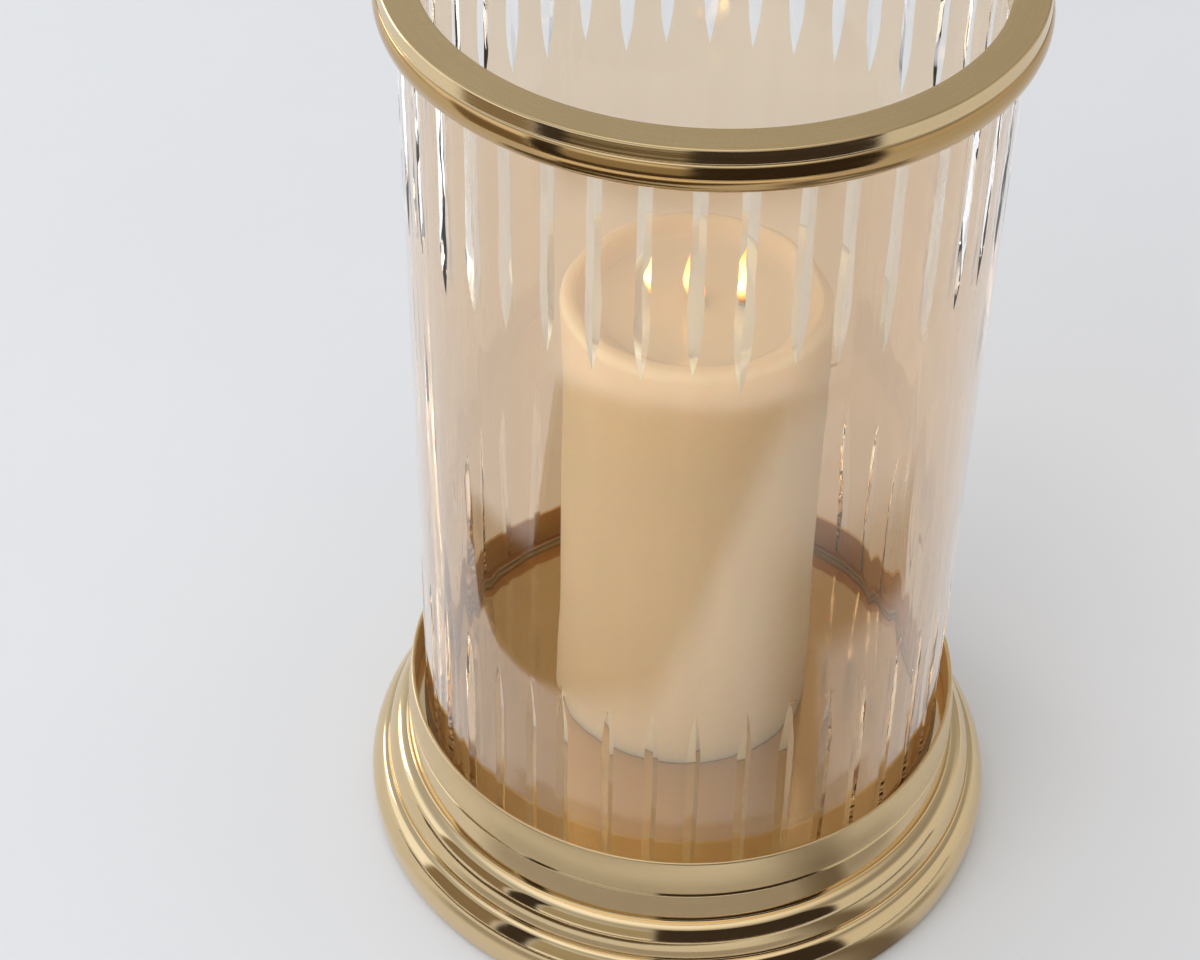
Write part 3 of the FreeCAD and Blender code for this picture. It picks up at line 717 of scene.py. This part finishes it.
def braided_wick():
    """Three cotton strands plaited round a core, leaning a little above the pool."""
    segs, rows = 42, 190
    verts, faces = [], []
    for i in range(rows):
        f = i / (rows - 1)
        z = 41.25 + f * (195.0 - 41.25)
        a = np.linspace(0, 2 * math.pi, segs, endpoint=False)
        lobe = np.abs(np.sin(1.5 * a + z * 0.55)) * 0.16 + np.abs(np.sin(1.5 * a - z * 0.55)) * 0.16
        r = 0.88 + lobe
        if z > 192.5:
            r = r * (1 - 0.45 * smooth01((z - 192.5) / 2.5))
        lean = 0.85 * smooth01((z - 188.0) / 8.0)
        verts.extend(np.stack([(r * np.cos(a) - lean) * MM, (CANDLE_Y + r * np.sin(a) - 0.3 * lean) * MM,
                               np.full(segs, z * MM)], 1).tolist())
    for i in range(rows - 1):
        for k in range(segs):
            j = (k + 1) % segs
            faces.append((i * segs + k, i * segs + j, (i + 1) * segs + j, (i + 1) * segs + k))
    lo = len(verts)
    verts.append((0.0, CANDLE_Y * MM, 41.22 * MM))
    verts.append((-0.85 * MM * 0.8, (CANDLE_Y - 0.25) * MM, 195.0 * MM))
    for k in range(segs):
        j = (k + 1) % segs
        faces.append((j, k, lo))
        faces.append(((rows - 1) * segs + k, (rows - 1) * segs + j, lo + 1))
    return add_mesh("wick_braided", verts, faces, [COTTON])


wick = braided_wick()
finish_piece(wick, "candle", "cotton", "wick")


def flame_shape():
    """A still flame: a teardrop round the wick, drawn out to a fine tip."""
    prof = [(0.0, 188.4), (0.8, 188.6), (1.45, 189.3), (2.05, 190.6), (2.45, 192.4), (2.55, 194.2), (2.4, 196.2),
            (2.05, 198.2), (1.64, 200.2), (1.18, 202.0), (0.74, 203.6), (0.36, 205.0), (0.12, 205.9), (0.0, 206.3)]
    dense = []
    pts = np.array(prof)
    u = np.concatenate([[0], np.cumsum(np.hypot(*np.diff(pts, axis=0).T))])
    for s in np.linspace(0, u[-1], 44):
        dense.append((np.interp(s, u, pts[:, 0]), np.interp(s, u, pts[:, 1])))
    dense = np.array(dense)
    for _ in range(2):
        dense[1:-1] = 0.25 * dense[:-2] + 0.5 * dense[1:-1] + 0.25 * dense[2:]
    dense[0, 0] = dense[-1, 0] = 0.0

    def lean(r, z, a):
        return r * (1 + 0.05 * np.sin(2 * a + 0.4)), z
    ob = lathe("candle_flame", dense, [FLAME], 56, closed=False, wobble=lean, back=CANDLE_Y)
    for v in ob.data.vertices:
        k = (v.co.z / MM - 188.6) / 23.0
        v.co.x += (-1.9 + 0.5 * k * k) * MM * smooth01(k * 3)
        v.co.y += -0.2 * MM * smooth01(k * 2)
    return ob


flame = flame_shape()
finish_piece(flame, "candle", "flame")

# ------------------------------------------------- pieces kept as they are
for node, mat in (("seat_ring", CUSHION), ("base_plate", PLATE), ("tie_rod", ZINC), ("tie_washer", ZINC),
                  ("tie_nut", ZINC), ("felt_pad", FELT), ("rim_bedding", BEDDING), ("wick_sustainer", TAB)):
    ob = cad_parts[node]
    if ob.material_slots:
        for s in ob.material_slots:
            s.material = mat
    else:
        ob.data.materials.append(mat)


# ---------------------------------------------------------------- the stage
def plain(name, a, b, rough):
    t = Net(name)
    pos, x, y, z, rad = t.place()
    n = t.noise(pos, 5.0, 4.0, 0.6)
    p = t.node("BsdfPrincipled", None, {"Base Color": t.mix(t.remap(n, 0.3, 0.7, 0.0, 1.0), a, b), "Roughness": rough,
                                        "Specular IOR Level": 0.0})
    return t.surface(p.outputs[0])


def panel(name, corners, mat, hidden=True):
    ob = add_mesh(name, corners, [tuple(range(len(corners)))], [mat])
    if hidden:
        ob.visible_camera = False
    return ob


def reflected(name, colour, mask=None):
    """A shade that only mirrored light meets, as a flag beside a product shot."""
    t = Net(name)
    pos, x, y, z, rad = t.place()
    seen = t.math("GREATER_THAN", t.node("LightPath").outputs["Glossy Depth"], 0.5)
    if mask:
        seen = t.math("MULTIPLY", seen, mask(t, x, y, z, rad))
    glow = t.node("Emission", None, {"Color": colour, "Strength": 1.0})
    clear = t.node("BsdfTransparent", None, {"Color": (1, 1, 1, 1)})
    both = t.node("MixShader", None, {0: seen, 1: clear.outputs[0], 2: glow.outputs[0]})
    t.mat.cycles.emission_sampling = "NONE"
    return t.surface(both.outputs[0])


def card(name, verts, faces, mat):
    ob = add_mesh(name, verts, faces, [mat])
    ob.visible_camera = False
    ob.visible_diffuse = False
    ob.visible_shadow = False
    return ob


def curved_card(name, rad, a0, a1, z0, z1, colour):
    """A card bent round the lantern, fading out towards its sides and its top."""
    def fade(t, x, y, z, rad):
        az = bearing(t, x, y)
        across = t.math("MULTIPLY", t.smooth(az, a0, a0 + 3.0, 0.0, 1.0), t.smooth(az, a1 - 3.0, a1, 1.0, 0.0))
        return t.math("MULTIPLY", across, t.smooth(z, z1 - 0.06, z1, 1.0, 0.0))

    mat = reflected(name, colour, fade)
    k = 24
    verts = []
    for i in range(k + 1):
        a = math.radians(a0 + (a1 - a0) * i / k)
        verts += [(rad * math.sin(a), -rad * math.cos(a), z) for z in (z0, z1)]
    return card(name, verts, [(2 * i, 2 * i + 2, 2 * i + 3, 2 * i + 1) for i in range(k)], mat)


def curve(t, v, lo, hi, stops):
    """Piecewise line through (v, value) stops, values from 0 to 1."""
    ramp = t.node("ValToRGB", None, {0: t.remap(v, lo, hi, 0.0, 1.0)})
    e = ramp.color_ramp.elements
    for k, (at, val) in enumerate(stops):
        if k < 2:
            s = e[k]
            s.position = (at - lo) / (hi - lo)
        else:
            s = e.new((at - lo) / (hi - lo))
        s.color = (val, val, val, 1.0)
    return t.node("RGBToBW", None, {0: ramp.outputs[0]}).outputs[0]


def bearing(t, x, y):
    """Angle about the axis in degrees: 0 to the front, positive to the right."""
    return t.math("MULTIPLY", t.math("ARCTAN2", x, t.math("MULTIPLY", y, -1.0)), 180.0 / math.pi)


def floor_shade(t, x, y, z, rad):
    """Dark beyond a slanting near edge and close in to the foot, pale between."""
    az = bearing(t, x, y)
    near = curve(t, az, -90.0, 60.0, ((-90.0, 0.55), (60.0, 0.90), (-82.0, 0.535), (-76.0, 0.465), (-66.5, 0.445),
                                      (-57.0, 0.4375), (-30.0, 0.445), (-9.6, 0.4715), (5.8, 0.573), (17.7, 0.698),
                                      (33.0, 0.828)))
    soft = t.remap(az, -50.0, 5.0, 0.004, 0.055)
    past = t.math("SUBTRACT", rad, t.math("MULTIPLY", near, 0.4))
    dark = t.math("MULTIPLY", t.node("MapRange", {"clamp": True, "interpolation_type": "SMOOTHSTEP"},
                                     {0: past, 1: t.math("MULTIPLY", soft, -0.5), 2: t.math("MULTIPLY", soft, 0.5),
                                      3: 0.0, 4: 1.0}).outputs[0],
                  t.smooth(t.math("SUBTRACT", rad, t.remap(az, -55.0, -48.0, 0.24, 0.3415)), -0.0085, 0.0085, 1.0, 0.0))
    far = t.math("MULTIPLY", t.smooth(rad, 0.46, 0.50, 0.0, 1.0), t.smooth(rad, 1.2, 1.4, 1.0, 0.0))
    far = t.math("MULTIPLY", far, t.math("MULTIPLY", t.smooth(az, -56.0, -44.0, 0.0, 1.0), t.smooth(az, 38.0, 48.0, 1.0, 0.0)))
    foot = t.math("MULTIPLY", t.math("MULTIPLY", t.smooth(rad, 0.132, 0.1365, 1.0, 0.0), t.smooth(rad, 0.106, 0.118, 0.0, 1.0)),
                  t.math("MULTIPLY", t.smooth(az, -60.0, -45.0, 0.0, 0.5), t.smooth(az, 60.0, 72.0, 1.0, 0.0)))
    right = t.math("MULTIPLY", t.smooth(az, 20.0, 42.0, 0.0, 0.85), t.smooth(rad, 0.225, 0.285, 1.0, 0.0))
    right = t.math("MULTIPLY", right, t.math("MAXIMUM", t.smooth(az, 44.0, 54.0, 1.0, 0.0), t.smooth(rad, 0.185, 0.21, 0.0, 1.0)))
    return t.math("MAXIMUM", t.math("MAXIMUM", dark, far), t.math("MAXIMUM", foot, right))


def floor_glow(t, x, y, z, rad):
    """The lighter floor farther out."""
    az = bearing(t, x, y)
    ring = t.math("MULTIPLY", t.smooth(rad, 0.338, 0.352, 0.0, 1.0), t.smooth(rad, 0.45, 0.48, 1.0, 0.0))
    return t.math("MULTIPLY", ring, t.math("MULTIPLY", t.smooth(az, -58.0, -46.0, 0.0, 1.0), t.smooth(az, 30.0, 42.0, 1.0, 0.0)))


FLOOR = plain("floor_pale", (0.90, 0.91, 0.925, 1), (0.92, 0.93, 0.94, 1), 0.8)
panel("floor", [(-4, -4, -0.0003), (4, -4, -0.0003), (4, 4, -0.0003), (-4, 4, -0.0003)], FLOOR, hidden=False)
QUAD = [(0, 1, 2, 3)]
DARK, HALF, MID = (0.045, 0.034, 0.028, 1), (0.27, 0.215, 0.15, 1), (0.42, 0.38, 0.30, 1)
curved_card("card_middle", 0.80, -43, -3, 0.05, 0.47, MID)
curved_card("card_front", 0.50, -6, 54, 0.0, 0.60, DARK)
curved_card("card_left", 0.50, -53, -39, 0.0, 0.44, DARK)
curved_card("card_side", 0.52, -81, -51, 0.0, 0.33, HALF)
card("card_floor", [(-1.4, -1.4, 0.001), (1.4, -1.4, 0.001), (1.4, -0.02, 0.001), (-1.4, -0.02, 0.001)], QUAD,
     reflected("card_floor", (0.10, 0.07, 0.04, 1), floor_shade))
card("card_glow", [(-0.8, -0.8, 0.0015), (0.8, -0.8, 0.0015), (0.8, -0.02, 0.0015), (-0.8, -0.02, 0.0015)], QUAD,
     reflected("card_glow", (1.18, 1.13, 1.06, 1), floor_glow))


def soft_light(name, at, target, w, h, watts, colour):
    data = bpy.data.lights.new(name, "AREA")
    data.shape = "RECTANGLE"
    data.size, data.size_y = w, h
    data.energy = watts
    data.color = colour
    ob = bpy.data.objects.new(name, data)
    fwd = np.array(target, float) - np.array(at, float)
    fwd /= np.linalg.norm(fwd)
    side = np.cross(fwd, (0, 0, 1.0))
    side /= np.linalg.norm(side)
    up = np.cross(side, fwd)
    ob.matrix_world = Matrix(((side[0], up[0], -fwd[0], at[0]), (side[1], up[1], -fwd[1], at[1]),
                              (side[2], up[2], -fwd[2], at[2]), (0, 0, 0, 1)))
    scene.collection.objects.link(ob)
    return ob


fill = soft_light("fill_front", (-1.1, -1.35, 1.4), (0, 0, 0.12), 1.5, 1.5, 10.5, (1.0, 0.985, 0.965))
fill.visible_glossy = False
soft_light("window_left", (-1.37, 0.77, 0.46), (0, 0, 0.10), 0.55, 0.55, 2.4, (0.96, 0.98, 1.0))


def studio_world():
    """An even room: pale walls near the horizon, a dimmer belt above them and a
    bright ceiling, the left side lighter than the right."""
    world = bpy.data.worlds.new("studio")
    scene.world = world
    world.use_nodes = True
    tree = world.node_tree
    tree.nodes.clear()

    def node(kind, props=None, ins=None):
        n = tree.nodes.new("ShaderNode" + kind)
        for k, v in (props or {}).items():
            setattr(n, k, v)
        for k, v in (ins or {}).items():
            if isinstance(v, bpy.types.NodeSocket):
                tree.links.new(v, n.inputs[k])
            else:
                n.inputs[k].default_value = v
        return n

    way = node("TexCoord").outputs["Generated"]
    sep = node("SeparateXYZ", None, {0: way})
    x, y, z = sep.outputs
    step = {"clamp": True, "interpolation_type": "SMOOTHSTEP"}
    low = node("MapRange", step, {0: z, 1: 0.30, 2: 0.66, 3: 1.0, 4: 0.46}).outputs[0]
    back = node("MapRange", step, {0: y, 1: 0.35, 2: 0.80, 3: 0.0, 4: 1.0}).outputs[0]
    calm = node("Mix", {"data_type": "FLOAT"}, {0: back, 2: low, 3: 0.53}).outputs[0]
    high = node("MapRange", step, {0: z, 1: 0.78, 2: 0.98, 3: 0.0, 4: 0.74}).outputs[0]
    tall = node("Math", {"operation": "ADD"}, {0: calm, 1: high}).outputs[0]
    side = node("MapRange", step, {0: x, 1: -0.85, 2: 0.75, 3: 1.285, 4: 0.745}).outputs[0]
    power = node("Math", {"operation": "MULTIPLY"}, {0: tall, 1: side}).outputs[0]
    warm = node("MapRange", step, {0: x, 1: -0.6, 2: 0.6, 3: 0.0, 4: 1.0}).outputs[0]
    hue = node("Mix", {"data_type": "RGBA"})
    tree.links.new(warm, hue.inputs[0])
    hue.inputs[6].default_value = (0.925, 0.97, 1.05, 1)
    hue.inputs[7].default_value = (1.0, 0.975, 0.94, 1)
    bg = node("Background", None, {"Color": hue.outputs[2], "Strength": power})
    out = node("OutputWorld", None, {"Surface": bg.outputs[0]})
    return out


studio_world()
